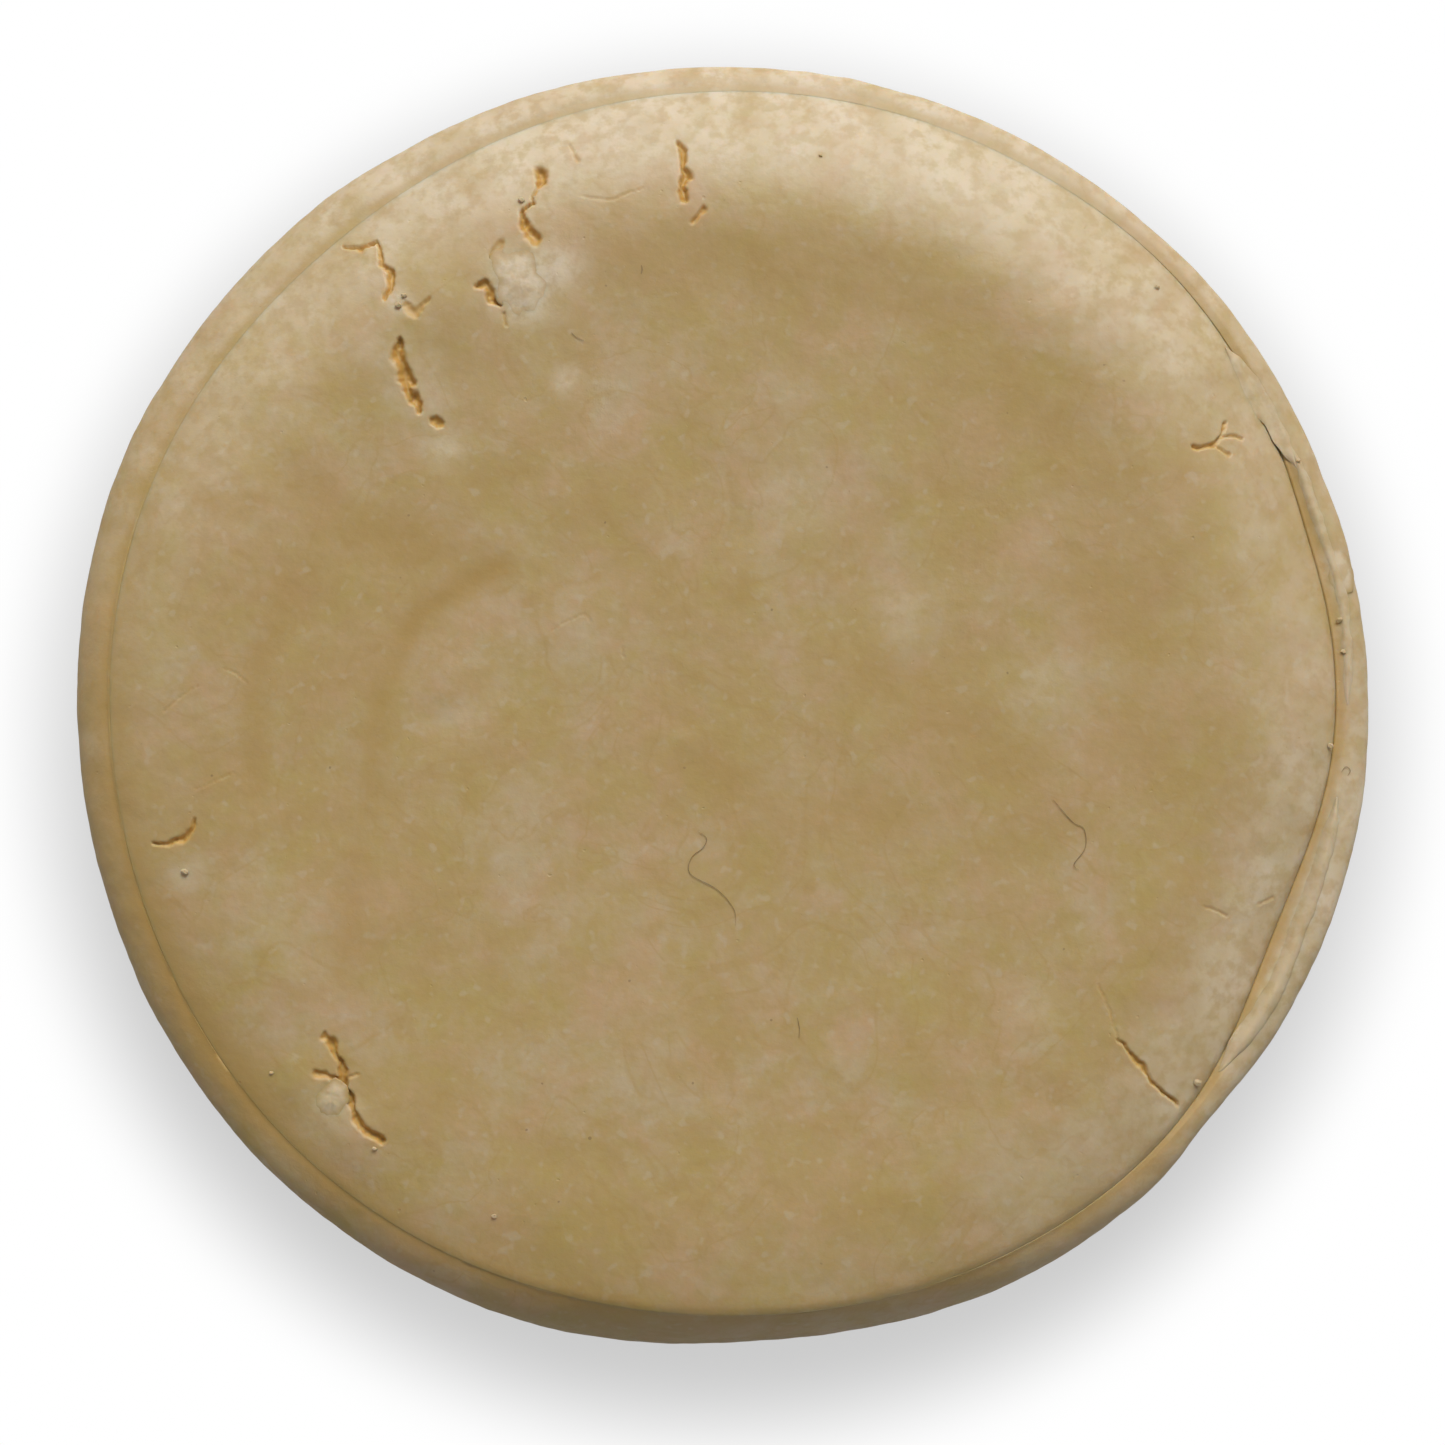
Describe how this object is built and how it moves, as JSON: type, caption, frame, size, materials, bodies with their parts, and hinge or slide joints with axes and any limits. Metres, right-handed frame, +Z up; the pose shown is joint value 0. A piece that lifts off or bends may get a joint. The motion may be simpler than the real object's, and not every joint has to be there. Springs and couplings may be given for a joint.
{
  "type": "shaving soap puck",
  "caption": "Round pressed shaving soap puck: a base layer with a raised rim, a domed-edge top layer seated in it, and squeezed lips and crumbs along the seam.",
  "frame": {"origin": "middle of the flat underside, on the surface the puck stands on", "axes": "+Z up through the flat face, +X and +Y across the face"},
  "size_m": [0.07, 0.07, 0.0224],
  "materials": {
    "base_soap": "satin waxy tan soap",
    "top_soap": "satin waxy tan soap, mottled",
    "squeezed_soap": "smooth waxy tan soap, thin and slightly clear",
    "dry_crumb": "dull dry crumbled soap"
  },
  "bodies": {
    "root": {"base_layer": "base_soap", "top_layer": "top_soap", "squeezed_lip_right": "squeezed_soap", "squeezed_lip_lower_right": "squeezed_soap", "lifted_flap_right": "squeezed_soap", "pressed_crumb_top": "dry_crumb", "raised_flake_lower_left": "dry_crumb", "pressed_crumb_rim": "dry_crumb", "loose_crumbs": "dry_crumb"}
  },
  "joints": []
}
